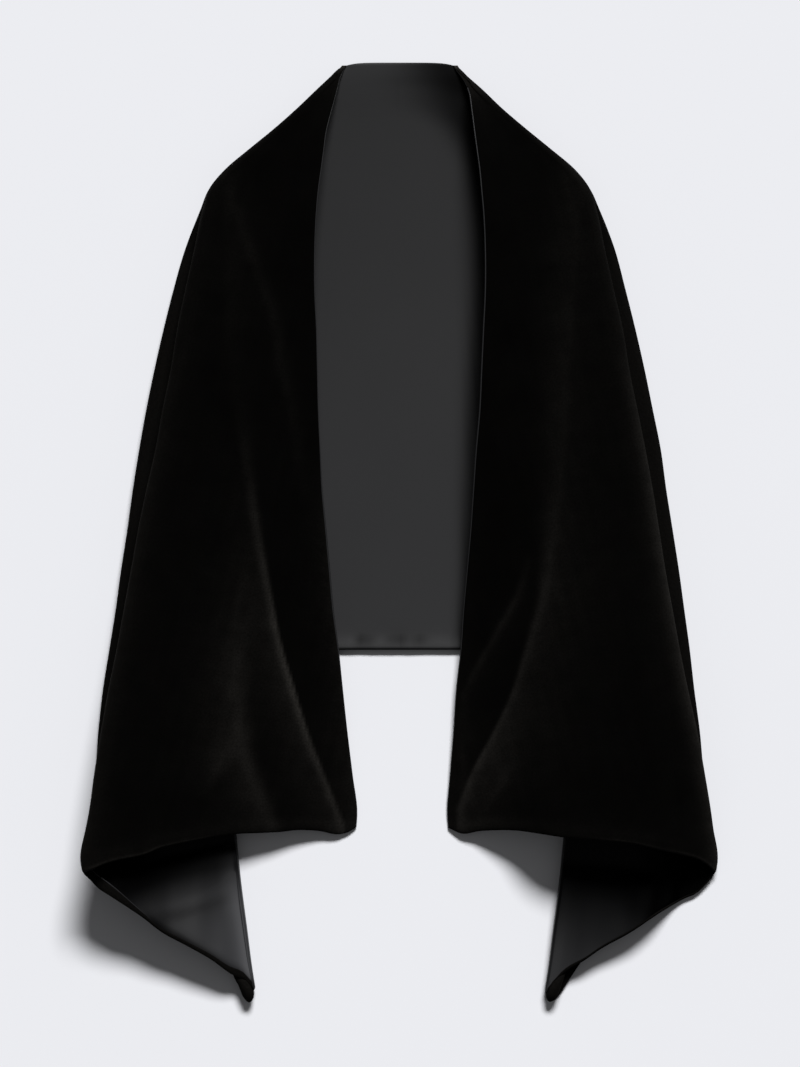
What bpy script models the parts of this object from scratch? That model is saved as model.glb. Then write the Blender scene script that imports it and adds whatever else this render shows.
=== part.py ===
"""Evening stole: a velvet rectangle lined with satin, laid flat as it is worn.

The back lies underneath with its lining up. Each end comes forward over the shoulder as a front with
the velvet up, turns under along a side fold, and opens below the front's hem into a tail that shows
the lining. Under each tail the cloth turns once more, along an inner bend, into an underfold that
joins the back along the outer fold. Every stretch is two walls, velvet and lining.

Metres, +Z up. The stole rests on the plane z = 0. +Y runs from the hem to the neck, X = 0 is the
centre back, and the origin is under the middle of the laid-out stole.
"""

import math
from collections import namedtuple

import bpy
import numpy as np

# Driving sizes, in metres. The tables below are in millimetres.
MM = 0.001
VELVET_THICKNESS = 1.7 * MM
LINING_THICKNESS = 1.0 * MM
SEAM_GAP = 0.3 * MM
NECK_Y = 519.5 * MM

# Distances down from the neck edge, in millimetres.
CORNER_DOWN = 845.0
FOLD_END_DOWN = 894.0
TIP_DOWN = 1036.0
OUTER_FOLD_END_DOWN = 787.0
BACK_BOTTOM_DOWN = 648.0
HEM_DROP = FOLD_END_DOWN - CORNER_DOWN
HEM_DROP_POWER = 2.6
BACK_STRAIGHT_SHARE = 0.22

# Where the rows of cloth cross the front's inner edge. The first six are the shoulder, and the side
# fold opens into tail and underfold at row SPLIT_ROW.
FRONT_STATIONS = (6, 45, 85, 120, 152, 164, 200, 250, 305, 365, 425, 485, 545, 605, 665, 725, 785, 845)
SPLIT_ROW = 5

# Numbers of cells across each stretch.
FRONT_CELLS = 14
TAIL_CELLS = 6
UNDERFOLD_CELLS = 4
BACK_HALF_CELLS = 6
FOLD_CELLS = 3
BEND_CELLS = 2

BACK_HEIGHT = (VELVET_THICKNESS + SEAM_GAP / 2) / MM
FRONT_SAG = 5.0
TAIL_SAG = 4.0
MOST_FOLD_SHARE = 0.4

# Between these distances down the fronts pass from a plain rise to the waved form of their hems, and
# from this share of its length on each tail passes to the form of its own hem.
HEM_FORM_FROM = 480.0
HEM_FORM_FULL = 820.0
TAIL_FORM_FROM = 0.75
EDGE_ANGLE = math.radians(50)

# Outlines of the two halves: distances from the centre line to the front's inner edge, to the side
# fold between front and tail, and to the outer fold between underfold and back.
Outline = namedtuple("Outline", "down inner side_fold outer_fold")
LEFT_OUTLINE = (
    Outline(0, 60, 61, 61),
    Outline(6, 63, 68, 68),
    Outline(28, 73, 90, 90),
    Outline(73, 82, 139, 139),
    Outline(117, 89, 192, 192),
    Outline(139, 91, 209, 210),
    Outline(161, 93, 216, 219),
    Outline(205, 95, 226, 236),
    Outline(250, 94, 236, 249),
    Outline(338, 92, 252, 270),
    Outline(427, 89, 269, 287),
    Outline(515, 82, 288, 300),
    Outline(604, 75, 304, 313),
    Outline(692, 64, 321, 327),
    Outline(787, 53, 337, 336),
    Outline(845, 48, 345, 345),
    Outline(894, 48, 351, 351),
)
RIGHT_OUTLINE = (
    Outline(0, 60, 61, 61),
    Outline(6, 63, 66, 66),
    Outline(28, 75, 89, 89),
    Outline(73, 82, 139, 139),
    Outline(117, 89, 192, 192),
    Outline(139, 91, 208, 209),
    Outline(161, 93, 215, 219),
    Outline(205, 95, 224, 236),
    Outline(250, 94, 235, 248),
    Outline(338, 91, 252, 269),
    Outline(427, 85, 270, 287),
    Outline(515, 79, 284, 300),
    Outline(604, 71, 300, 313),
    Outline(692, 63, 317, 324),
    Outline(787, 56, 336, 335),
    Outline(845, 53, 344, 344),
    Outline(894, 53, 350, 350),
)

# Heights of a front's middle over the floor at its inner edge and at the top of the side fold, of the
# fold's outermost line and of the tail under it, how far in the fold's curve begins, and how far the
# curve has slumped into a straight slope.
Front = namedtuple("Front", "down edge top side low reach slump")
LEFT_FRONT = (
    Front(0, 7, 9, 9, 9, 4, 0),
    Front(6, 11, 12, 11, 10, 4, 0),
    Front(45, 21, 22, 18, 14, 6, 0),
    Front(120, 33, 30, 23, 17, 7, 0),
    Front(164, 35, 33, 26, 19, 7, 0),
    Front(250, 36, 38, 30, 23, 8, 0),
    Front(338, 36, 42, 34, 27, 8, 0),
    Front(427, 33, 46, 38, 31, 8, 0),
    Front(515, 27, 50, 41, 34, 9, 0),
    Front(604, 19, 54, 44, 37, 10, 0),
    Front(692, 12, 58, 47, 39, 11, 0),
    Front(787, 5, 62, 49, 41, 13, 0),
    Front(845, 2, 65, 50, 42, 14, 0),
    Front(894, 2, 67, 50, 43, 14, 0),
)
RIGHT_FRONT = (
    Front(0, 9, 9, 9, 9, 4, 0),
    Front(6, 16, 12, 11, 10, 4, 0),
    Front(45, 31, 22, 18, 14, 6, 0),
    Front(120, 46, 30, 23, 17, 7, 0),
    Front(164, 49, 33, 26, 19, 7, 0),
    Front(250, 50, 38, 30, 23, 8, 0),
    Front(338, 48, 42, 34, 27, 8, 0),
    Front(427, 42, 46, 38, 31, 8, 0),
    Front(515, 31, 50, 41, 34, 10, 0),
    Front(604, 17, 54, 43, 36, 12, 0.1),
    Front(692, 9, 56, 42, 34, 17, 0.3),
    Front(787, 5, 50, 31, 25, 27, 0.7),
    Front(845, 2, 43, 18, 12, 34, 0.9),
    Front(894, 2, 39, 7, 4, 38, 0.95),
)

# Heights of the hems over the floor, by the share of the way across: a front's from its inner edge to
# where the side fold's curve begins, and a tail's from under the side fold to the inner bend.
Hem = namedtuple("Hem", "share height")
LEFT_FRONT_HEM = (
    Hem(0, 2), Hem(0.13, 7), Hem(0.285, 15), Hem(0.42, 21), Hem(0.53, 32), Hem(0.66, 47),
    Hem(0.8, 57), Hem(1, 67),
)
RIGHT_FRONT_HEM = (
    Hem(0, 2), Hem(0.09, 6), Hem(0.155, 11), Hem(0.216, 17), Hem(0.285, 25), Hem(0.35, 34), Hem(0.42, 42),
    Hem(0.52, 52), Hem(0.68, 58), Hem(0.82, 58), Hem(0.9, 55), Hem(1, 39),
)
LEFT_TAIL_HEM = (
    Hem(0, 43), Hem(0.07, 46), Hem(0.16, 45), Hem(0.27, 40), Hem(0.38, 35.5), Hem(0.61, 30),
    Hem(0.83, 19), Hem(1, 8),
)
RIGHT_TAIL_HEM = (
    Hem(0, 5), Hem(0.15, 7), Hem(0.25, 12), Hem(0.34, 18), Hem(0.58, 18), Hem(0.71, 16),
    Hem(0.84, 12), Hem(1, 8),
)

# Heights of the plies under the fronts, the same in both halves: the tail and the underfold at the
# inner bend, and the underfold at the outer fold. bend_out is the bend's distance from the centre line.
Plies = namedtuple("Plies", "down bend_out tail_bend under_bend under_fold")
PLIES = (
    Plies(0, 207, 12, 5, 9),
    Plies(164, 207, 12, 5, 9),
    Plies(250, 209, 14, 6, 12),
    Plies(338, 208, 15, 6, 14),
    Plies(427, 206, 16, 6, 15),
    Plies(515, 203, 16, 6, 16),
    Plies(604, 199, 16, 6, 16),
    Plies(692, 194, 15, 6, 16),
    Plies(787, 188, 12, 4, 14),
    Plies(845, 184, 10, 2, 12),
    Plies(894, 179, 8, 1.5, 10),
    Plies(980, 168, 6.5, 1.3, 8),
    Plies(1036, 162, 6, 1.2, 8),
)

# Crests that run down the fronts: points as (down, distance from the centre line), the crest's
# height over the cloth, its half width, and whether it runs on into the hem.
Crest = namedtuple("Crest", "path height half_width to_hem")
LEFT_CRESTS = (
    Crest(((200, 190), (322, 189), (450, 169), (585, 145), (688, 120), (794, 83), (843, 64)), 9, 20, True),
    Crest(((138, 193), (193, 170), (277, 142), (377, 123), (487, 105)), 5, 20, False),
    Crest(((560, 185), (703, 184), (783, 170), (845, 145)), 7, 22, True),
)
RIGHT_CRESTS = (
    Crest(((150, 195), (252, 190), (432, 179), (541, 165), (644, 143), (739, 106), (824, 66)), 9, 20, True),
    Crest(((540, 145), (585, 132), (633, 106), (700, 78)), 4, 18, False),
    Crest(((700, 230), (780, 215), (845, 190)), 6, 24, True),
)

# How far the tail's hem bows in from a straight line between the side fold and the tip.
Half = namedtuple("Half", "name side outline front front_hem tail_hem crests hem_bow hem_bow_power")
HALVES = (
    Half("left", -1, LEFT_OUTLINE, LEFT_FRONT, LEFT_FRONT_HEM, LEFT_TAIL_HEM, LEFT_CRESTS, 14.0, 3.0),
    Half("right", 1, RIGHT_OUTLINE, RIGHT_FRONT, RIGHT_FRONT_HEM, RIGHT_TAIL_HEM, RIGHT_CRESTS, 38.0, 4.2),
)

VELVET_COLOR = (0.0032, 0.0031, 0.0030, 1.0)
LINING_COLOR = (0.030, 0.030, 0.033, 1.0)


def clear_scene():
    for obj in list(bpy.data.objects):
        bpy.data.objects.remove(obj, do_unlink=True)


def blend(a, b, t):
    return a + (b - a) * t


def ease(t):
    t = min(max(t, 0.0), 1.0)
    return t * t * (3 - 2 * t)


def column(table, name):
    """A smooth curve through one column of a table, as a function of its first column."""
    places = np.array([row[0] for row in table], float)
    values = np.array([getattr(row, name) for row in table], float)
    slopes = np.gradient(values, places)

    def at(place):
        place = min(max(place, places[0]), places[-1])
        i = min(int(np.searchsorted(places, place, side="right")) - 1, len(places) - 2)
        width = places[i + 1] - places[i]
        t = (place - places[i]) / width
        ends = (1 + 2 * t) * (1 - t) ** 2 * values[i] + t * t * (3 - 2 * t) * values[i + 1]
        bends = t * (1 - t) ** 2 * slopes[i] - t * t * (1 - t) * slopes[i + 1]
        return ends + bends * width

    return at


def crest_lift(crests, out, down):
    """The height that the crests add at one point of a front."""
    lift = 0.0
    for crest in crests:
        downs = [point[0] for point in crest.path]
        outs = [point[1] for point in crest.path]
        along = (down - downs[0]) / (downs[-1] - downs[0])
        fade = ease(along * 4)
        if not crest.to_hem:
            fade *= ease((1 - along) * 4)
        across = (out - np.interp(down, downs, outs)) / crest.half_width
        lift += crest.height * fade * math.exp(-across * across)
    return lift


def arc(centre, radii, first, last, cells, before=0, after=0, slump=0.0):
    """Points (out, height) on an ellipse between two angles in degrees, and as many beyond its ends.

    A slump of 1 turns the quarter from 90 to 0 degrees into a straight slope between its ends.
    """
    points = []
    for i in range(-before, cells + 1 + after):
        turn = math.radians(blend(first, last, i / cells))
        rise = blend(math.sin(turn), 1 - math.cos(turn), slump if turn > 0 else 0.0)
        points.append((centre[0] + radii[0] * math.cos(turn), centre[1] + radii[1] * rise))
    return points


class Rows:
    """Where the rows of one half cross its folds, and the folds' places there, in millimetres."""

    def __init__(self, half):
        self.half = half
        self.inner = column(half.outline, "inner")
        self.side_fold = column(half.outline, "side_fold")
        self.outer_fold = column(half.outline, "outer_fold")
        self.ply = {name: column(PLIES, name) for name in Plies._fields[1:]}
        self.front = {name: column(half.front, name) for name in Front._fields[1:]}
        self.front_hem = column(half.front_hem, "height")
        self.tail_hem = column(half.tail_hem, "height")
        drops = [HEM_DROP * (s / CORNER_DOWN) ** 3 for s in FRONT_STATIONS]
        self.fold_downs = [s + drop for s, drop in zip(FRONT_STATIONS, drops)]
        split = self.fold_downs[SPLIT_ROW]
        shares = [(down - split) / (FOLD_END_DOWN - split) for down in self.fold_downs[SPLIT_ROW:]]
        self.bend_downs = [blend(split, TIP_DOWN, share) for share in shares]
        self.outer_downs = [blend(split, OUTER_FOLD_END_DOWN, share) for share in shares]
        self.back_downs = self.fold_downs[:SPLIT_ROW] + self.outer_downs

    def side_roll(self, row):
        """The side fold's outermost point, its height, and its radii over and under that height."""
        down = self.fold_downs[row]
        out = self.side_fold(down)
        top = self.front["top"](down)
        if row < SPLIT_ROW:
            high = (top - BACK_HEIGHT) / 2
            reach = min(high, MOST_FOLD_SHARE * (out - self.inner(down)))
            return out, (top + BACK_HEIGHT) / 2, (reach, high), (reach, high)
        middle = self.front["side"](down)
        under = middle - self.front["low"](down)
        most = MOST_FOLD_SHARE * (out - self.ply["bend_out"](down))
        return out, middle, (self.front["reach"](down), top - middle), (min(under, most), under)

    def bend_roll(self, index):
        """The inner bend's innermost point, its height and its radii."""
        down = self.bend_downs[index]
        top, low = self.ply["tail_bend"](down), self.ply["under_bend"](down)
        high = (top - low) / 2
        return self.ply["bend_out"](down), (top + low) / 2, (high, high)

    def outer_roll(self, row):
        """The outer fold's outermost point, its height and its radii, where the back turns up."""
        if row < SPLIT_ROW:
            out, middle, _, radii = self.side_roll(row)
            return out, middle, radii
        down = self.back_downs[row]
        out = self.outer_fold(down)
        top = self.ply["under_fold"](down)
        high = (top - BACK_HEIGHT) / 2
        reach = out - self.ply["bend_out"](down)
        return out, (top + BACK_HEIGHT) / 2, (min(high, MOST_FOLD_SHARE * reach), high)


def gap_angle(radii):
    """The angle, in degrees, that leaves half a seam gap at a fold."""
    return math.degrees(SEAM_GAP / MM / 2 / radii[1])


def hem_form(profile, across, first, last):
    """A hem's height at a share of the way across, fitted to the first and last heights of a row."""
    fitted = profile(across) + (first - profile(0.0)) * (1 - across) ** 4
    return fitted + (last - profile(1.0)) * across ** 4


def front_grid(rows):
    """Points (out, down, height) of a front, from its inner edge round to the side fold."""
    grid = []
    lowest = rows.front["edge"](CORNER_DOWN)
    for row, station in enumerate(FRONT_STATIONS):
        out, middle, radii, _ = rows.side_roll(row)
        fold_down = rows.fold_downs[row]
        drop = fold_down - station
        inner = rows.inner(station)
        edge_height = rows.front["edge"](station)
        fold_height = middle + radii[1]
        hem_share = ease((station - HEM_FORM_FROM) / (HEM_FORM_FULL - HEM_FORM_FROM))
        points = []
        for i in range(FRONT_CELLS):
            u = i / FRONT_CELLS
            x = blend(inner, out - radii[0], u)
            down = station + drop * u ** HEM_DROP_POWER
            height = blend(edge_height, fold_height, math.sin(math.pi / 2 * u))
            height -= FRONT_SAG * math.sin(math.pi * u) * ease(station / 150)
            height = blend(height, hem_form(rows.front_hem, u, edge_height, fold_height), hem_share)
            height += crest_lift(rows.half.crests, x, down) * ease(u * 5) * ease((1 - u) * 4)
            points.append((x, down, max(height, lowest)))
        slump = rows.front["slump"](fold_down)
        roll = arc((out - radii[0], middle), radii, 90, gap_angle(radii), FOLD_CELLS, after=1, slump=slump)
        points += [(x, fold_down, height) for x, height in roll]
        grid.append(points)
    return np.array(grid)


def tail_grid(rows):
    """Points of a tail, from the side fold down to the inner bend."""
    grid = []
    for index, bend_down in enumerate(rows.bend_downs):
        row = index + SPLIT_ROW
        fold_down = rows.fold_downs[row]
        out, middle, _, radii = rows.side_roll(row)
        bend_out, bend_middle, bend_radii = rows.bend_roll(index)
        start = (out - radii[0], middle - radii[1])
        end = (bend_out + bend_radii[0], bend_middle + bend_radii[1])
        share = index / (len(rows.bend_downs) - 1)
        hem_share = ease((share - TAIL_FORM_FROM) / (1 - TAIL_FORM_FROM))
        roll = arc((start[0], middle), radii, -gap_angle(radii), -90, FOLD_CELLS, before=1)
        points = [(x, fold_down, height) for x, height in roll]
        for i in range(1, TAIL_CELLS + 1):
            w = i / TAIL_CELLS
            bow = rows.half.hem_bow * math.sin(math.pi * w ** rows.half.hem_bow_power)
            down = blend(fold_down, bend_down, w) - bow * share ** 4
            height = blend(start[1], end[1], w) - TAIL_SAG * math.sin(math.pi * w) * share
            height = blend(height, hem_form(rows.tail_hem, w, start[1], end[1]), hem_share)
            points.append((blend(start[0], end[0], w), down, height))
        last = 180 - gap_angle(bend_radii)
        bend = arc((end[0], bend_middle), bend_radii, 90, last, BEND_CELLS, after=1)
        points += [(x, bend_down, height) for x, height in bend[1:]]
        grid.append(points)
    return np.array(grid)


def underfold_grid(rows):
    """Points of an underfold, from the inner bend out to the outer fold."""
    grid = []
    for index, bend_down in enumerate(rows.bend_downs):
        row = index + SPLIT_ROW
        outer_down = rows.back_downs[row]
        out, middle, radii = rows.outer_roll(row)
        bend_out, bend_middle, bend_radii = rows.bend_roll(index)
        start = (bend_out + bend_radii[0], bend_middle - bend_radii[1])
        end = (out - radii[0], middle + radii[1])
        first = 180 + gap_angle(bend_radii)
        bend = arc((start[0], bend_middle), bend_radii, first, 270, BEND_CELLS, before=1)
        points = [(x, bend_down, height) for x, height in bend]
        for i in range(1, UNDERFOLD_CELLS + 1):
            w = i / UNDERFOLD_CELLS
            down = blend(bend_down, outer_down, w)
            points.append((blend(start[0], end[0], w), down, blend(start[1], end[1], w)))
        roll = arc((end[0], middle), radii, 90, gap_angle(radii), FOLD_CELLS, after=1)
        points += [(x, outer_down, height) for x, height in roll[1:]]
        grid.append(points)
    return np.array(grid)


def back_half_grid(rows):
    """Points of half the back, from the centre line out and up into the outer fold."""
    grid = []
    first, last = rows.back_downs[0], rows.back_downs[-1]
    for row, outer_down in enumerate(rows.back_downs):
        out, middle, radii = rows.outer_roll(row)
        centre_down = BACK_BOTTOM_DOWN * (outer_down - first) / (last - first)
        points = []
        for i in range(BACK_HALF_CELLS):
            u = i / BACK_HALF_CELLS
            slant = max(u - BACK_STRAIGHT_SHARE, 0) / (1 - BACK_STRAIGHT_SHARE)
            points.append(((out - radii[0]) * u, blend(centre_down, outer_down, slant), BACK_HEIGHT))
        roll = arc((out - radii[0], middle), radii, -90, -gap_angle(radii), FOLD_CELLS, after=1)
        points += [(x, outer_down, height) for x, height in roll]
        grid.append(points)
    return np.array(grid)


def placed(grid, side):
    """Points (out, down, height) in millimetres as world points in metres."""
    return np.stack([side * grid[..., 0] * MM, NECK_Y - grid[..., 1] * MM, grid[..., 2] * MM], axis=-1)


def grid_normals(points, velvet_up):
    """Unit normals on the velvet's side of the cloth."""
    across = np.gradient(points, axis=1)
    along = np.gradient(points, axis=0)
    normals = np.cross(across, along)
    normals /= np.linalg.norm(normals, axis=-1, keepdims=True)
    faces_up = np.median(normals[..., 2]) > 0
    return normals if faces_up == velvet_up else -normals


def cloth_material(name, color, roughness, sheen):
    material = bpy.data.materials.new(name)
    material.use_nodes = True
    shader = material.node_tree.nodes["Principled BSDF"]
    shader.inputs["Base Color"].default_value = color
    shader.inputs["Roughness"].default_value = roughness
    shader.inputs["Sheen Weight"].default_value = sheen
    material.diffuse_color = color
    return material


def grid_faces(row_count, column_count):
    """Two triangles a cell, wound so that they face along (next column) x (next row)."""
    faces = []
    for i in range(row_count - 1):
        for j in range(column_count - 1):
            a, b = i * column_count + j, i * column_count + j + 1
            c, d = b + column_count, a + column_count
            faces += [(a, b, c), (a, c, d)]
    return faces


def rim_loop(row_count, column_count):
    """The grid's outer points in order, first row forwards."""
    first = [j for j in range(column_count)]
    right = [i * column_count + column_count - 1 for i in range(1, row_count)]
    last = [(row_count - 1) * column_count + j for j in range(column_count - 2, -1, -1)]
    left = [i * column_count for i in range(row_count - 2, 0, -1)]
    return first + right + last + left


def cloth_wall(name, points, normals, thickness, material, collection):
    """One wall of cloth, lofted half a seam gap off the grid and as thick as the cloth."""
    near = points + normals * SEAM_GAP / 2
    far = near + normals * thickness
    row_count, column_count = points.shape[:2]
    count = row_count * column_count
    sheet = grid_faces(row_count, column_count)
    rim = rim_loop(row_count, column_count)
    faces = [(a + count, b + count, c + count) for a, b, c in sheet]
    faces += [face[::-1] for face in sheet]
    for a, b in zip(rim, rim[1:] + rim[:1]):
        faces += [(a, b, b + count), (a, b + count, a + count)]
    middle = (row_count // 2, column_count // 2)
    turn = np.cross(np.gradient(points, axis=1)[middle], np.gradient(points, axis=0)[middle])
    if np.dot(turn, normals[middle]) < 0:
        faces = [face[::-1] for face in faces]
    mesh = bpy.data.meshes.new(name)
    mesh.from_pydata(np.concatenate([near, far]).reshape(-1, 3).tolist(), [], faces)
    mesh.materials.append(material)
    mesh.shade_smooth()
    mesh.set_sharp_from_angle(angle=EDGE_ANGLE)
    obj = bpy.data.objects.new(name, mesh)
    collection.objects.link(obj)


def stretch(name, points, velvet_up, collection, first=0, last=-1):
    """The two walls of one stretch. Its columns before first and from last on only steer the normals."""
    normals = grid_normals(points, velvet_up)[:, first:last]
    points = points[:, first:last]
    velvet = cloth_material(name + "_velvet", VELVET_COLOR, 0.9, 0.3)
    lining = cloth_material(name + "_lining", LINING_COLOR, 0.4, 0.0)
    cloth_wall(name + "_velvet", points, normals, VELVET_THICKNESS, velvet, collection)
    cloth_wall(name + "_lining", points, -normals, LINING_THICKNESS, lining, collection)


def main():
    clear_scene()
    stole = bpy.data.collections.new("evening_stole")
    bpy.context.scene.collection.children.link(stole)
    back_halves = []
    for half in HALVES:
        rows = Rows(half)
        stretch("front_" + half.name, placed(front_grid(rows), half.side), True, stole)
        stretch("tail_" + half.name, placed(tail_grid(rows), half.side), False, stole, first=1)
        stretch("underfold_" + half.name, placed(underfold_grid(rows), half.side), True, stole, first=1)
        back_halves.append(placed(back_half_grid(rows), half.side))
    left, right = back_halves
    stretch("back", np.concatenate([left[:, :0:-1], right], axis=1), False, stole, first=1)


main()
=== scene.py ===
"""Looks of the evening stole: black velvet lined with charcoal satin, laid flat as it is worn.

The cloth is one folded sheet. Its middle surface is worked out row by row from the neck to the hem,
in millimetres as (out from the centre line, down from the neck edge, height over the floor), and the
velvet and the lining are thin shells on its two sides.
"""

import math
from collections import namedtuple
from types import SimpleNamespace

import bpy
import numpy as np
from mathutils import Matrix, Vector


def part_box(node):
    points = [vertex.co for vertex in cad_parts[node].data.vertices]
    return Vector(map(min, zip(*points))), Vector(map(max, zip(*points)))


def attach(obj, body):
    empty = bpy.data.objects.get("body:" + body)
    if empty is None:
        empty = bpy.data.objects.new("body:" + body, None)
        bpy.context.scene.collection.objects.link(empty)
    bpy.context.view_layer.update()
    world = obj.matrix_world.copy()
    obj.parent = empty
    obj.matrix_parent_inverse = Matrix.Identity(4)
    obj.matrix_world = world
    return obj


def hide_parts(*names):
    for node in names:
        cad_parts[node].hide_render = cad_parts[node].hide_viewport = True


MM = 0.001
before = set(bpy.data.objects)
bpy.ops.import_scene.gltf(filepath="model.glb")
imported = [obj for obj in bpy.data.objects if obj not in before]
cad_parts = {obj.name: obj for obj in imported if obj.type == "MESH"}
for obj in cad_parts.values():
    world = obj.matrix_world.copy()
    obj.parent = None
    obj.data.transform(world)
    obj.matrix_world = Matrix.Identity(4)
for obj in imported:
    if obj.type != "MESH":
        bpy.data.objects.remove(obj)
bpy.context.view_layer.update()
NECK_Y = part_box("back_velvet")[1].y

# The picture, in pixels, and the real size of one of them at the floor.
PICTURE = (800, 1067)
PIXEL = 1.107 * MM
CENTRE_PIXEL_Y = 533.5
NECK_PIXEL_Y = 64.5
CENTRE_DOWN = (CENTRE_PIXEL_Y - NECK_PIXEL_Y) * PIXEL / MM
CAMERA_HEIGHT = 5.0

# The key light, a wide softbox so far off that it lights the whole floor evenly. Angles in degrees.
KEY_DISTANCE = 300.0
KEY_FROM_UP = 11.0
KEY_ELEVATION = 35.5
KEY_WIDTH = 27.5
KEY_DEPTH = 12.0
KEY_STRENGTH = 5.38
FILL_STRENGTH = 0.09

# Cloth, in millimetres: each side's distance from the middle surface, the rounding of the edges, the
# neck's corner, round which the cloth thins out in the same way, and the least gap under a front.
VELVET_SIDE = 1.85
LINING_SIDE = 1.15
INNER_SIDE = 0.15
EDGE_SIDE = 0.45
EDGE_ROUND = 3.0
NECK_CORNER_OUT = 60.0
NECK_CORNER_REACH = 16.0
FLOOR_GAP = 0.4

# Distances down from the neck edge, in millimetres.
NECK_START = 1.3
NECK_RISE = 2.0
NECK_FORM_OVER = 60.0
SPLIT_DOWN = 150.0
SPLIT_OPENS_OVER = 70.0
HEM_FORM_FROM = 480.0
HEM_FORM_FULL = 820.0
BACK_BOTTOM_DOWN = 648.0
OUTER_FOLD_END_DOWN = 787.0
CORNER_DOWN = 845.0
FOLD_END_DOWN = 894.0
TIP_DOWN = 1026.0

# The back's height and the straight share of its hem, the largest share of a stretch that its fold takes
# up, how flat the inner bend is, and the least width of a tail.
BACK_HEIGHT = VELVET_SIDE
BACK_STRAIGHT_SHARE = 0.22
MOST_FOLD_SHARE = 0.4
BEND_SHARPNESS = 0.4
LEAST_TAIL = 0.5

# The shares of the way down where the hems' forms come in, or the powers of it that bring them in.
TAIL_FORM_FROM = 0.8
FRONT_HEM_POWER = 5
TAIL_BOW_POWER = 6
UNDER_BOW_POWER = 12
NECK_FORM_POWER = 6

# Relief on the cloth, in millimetres: the front's hollow, waves, hem and puckers, and the back's edge.
FRONT_HOLLOW = 5.0
FRONT_HOLLOW_OVER = 150.0
FRONT_WAVE = 0.8
TAIL_WAVE = 0.6
HEM_ROLL = 1.1
HEM_PUCKER = 0.25
BACK_EDGE_LIFT = 2.4
BACK_PUCKER = 0.3

# A crest's top is round over this share of its half width, and its bright core is this wide.
CREST_ROUND = 0.35
CREST_CORE = 5.0

# Cells along the cloth and across each stretch, their finer steps at its edges, in millimetres, and the
# angle, in degrees, from which an edge is sharp.
ROW_CELLS = 210
FRONT_CELLS = 84
FOLD_CELLS = 7
TAIL_CELLS = 36
UNDERFOLD_CELLS = 14
UNDERFOLD_SPACING = 1.6
BACK_CELLS = 30
HEM_TURN_CELLS = 8
TUBE_SIDES = 12
SHARP_FROM = 60.0
EDGE_STEPS = (0.0, 0.5, 1.2, 2.1, 3.2, 4.8)

# Painted sheen on the velvet, where 1 is lightest: all over a front, round its neck's corner, at its hem and
# on the hem's rim, on the layers below, and at the tail's tip. The first value scales the painted sheen of
# the fronts as a whole.
PAINTED_SHEEN_SCALE = 0.5
FRONT_LIGHT = 0.03
NECK_CORNER_LIGHT = 1.2
HEM_LIGHT = 0.07
HEM_RIM_LIGHT = 0.3
UNDER_LIGHT = 0.08
TIP_LIGHT = 0.12
LIGHT_NAMES = {"velvet": "painted_velvet_sheen", "satin": "painted_satin_shading"}

# Painted sheen beside a line of the front: its strength, how far it spreads from the line, and where down
# the cloth it starts and over what length it comes in.
Glow = namedtuple("Glow", "strength spread start over")
FOLD_HALO = Glow(0.1, 14, 60, 160)
EDGE_HALO = Glow(0.06, 40, 620, 180)


def table(row_type, *rows):
    """Rows of a table with named columns."""
    return tuple(row_type(*row) for row in rows)


# How far out the front's inner edge, the side fold and the outer fold lie, by the distance down.
Outline = namedtuple("Outline", "down inner side_fold outer_fold")
LEFT_OUTLINE = table(
    Outline,
    (0, 58, 59, 59), (3, 60.3, 61.2, 61.2), (6, 62.5, 67, 67), (12, 65.5, 73, 73), (28, 70, 90, 90),
    (50, 76, 113, 113), (73, 82, 139, 139), (95, 85, 166, 166), (117, 88, 192, 192),
    (139, 91, 210, 210), (161, 93, 217, 219), (205, 95, 226, 236), (250, 95, 236, 249),
    (294, 93, 245, 260), (338, 92, 252, 270), (382, 91, 261, 279), (427, 89, 269, 287),
    (471, 87, 279, 294), (515, 83, 288, 300), (560, 79, 296, 307), (604, 75, 304, 313),
    (648, 69, 312, 320), (692, 64, 321, 327), (737, 59, 329, 332), (787, 53, 337, 336),
    (830, 48, 343, 344), (845, 49, 346, 346), (882, 49, 352, 352), (894, 49, 350, 350),
)
RIGHT_OUTLINE = table(
    Outline,
    (0, 58, 59, 59), (3, 59.8, 60.7, 60.7), (6, 62, 65.4, 65.4), (12, 67, 71, 71), (28, 76, 89, 89),
    (50, 80, 112, 112), (73, 83, 139, 139), (95, 86, 166, 166), (117, 89, 192, 192),
    (139, 91, 209, 209), (161, 93, 216, 219), (205, 95, 225, 236), (250, 95, 235, 248),
    (294, 93, 245, 259), (338, 91, 252, 269), (382, 89, 261, 278), (427, 85, 270, 287),
    (471, 82, 278, 293), (515, 79, 285, 300), (560, 75, 292, 307), (604, 71, 300, 313),
    (648, 68, 308, 319), (692, 63, 317, 324), (737, 60, 327, 330), (787, 56, 336, 335),
    (830, 53, 343, 343), (845, 54, 345, 345), (882, 54, 350, 350), (894, 54, 348, 348),
)

# How far out the tail's inner bend lies, as (down, out).
BEND_OUT = (
    (150, 213), (165, 211), (200, 210), (250, 209), (338, 208), (427, 206), (515, 203), (604, 199),
    (692, 194), (787, 188), (854, 182), (905, 177), (960, 170), (1000, 165), (1026, 161),
)

# Heights of the middle surface over the floor, as (down, height): the top and the foot of the inner
# bend, and the top of the outer fold.
TAIL_BEND = (
    (150, 12), (250, 14), (338, 15), (515, 16), (692, 17), (845, 18), (910, 17), (960, 14), (1026, 10),
)
UNDER_BEND = ((150, 5), (250, 6), (692, 6), (787, 4), (845, 2), (894, 1.5), (1026, 1.3))
UNDER_FOLD = ((150, 9), (250, 12), (338, 14), (515, 16), (692, 16), (787, 14))

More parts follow.
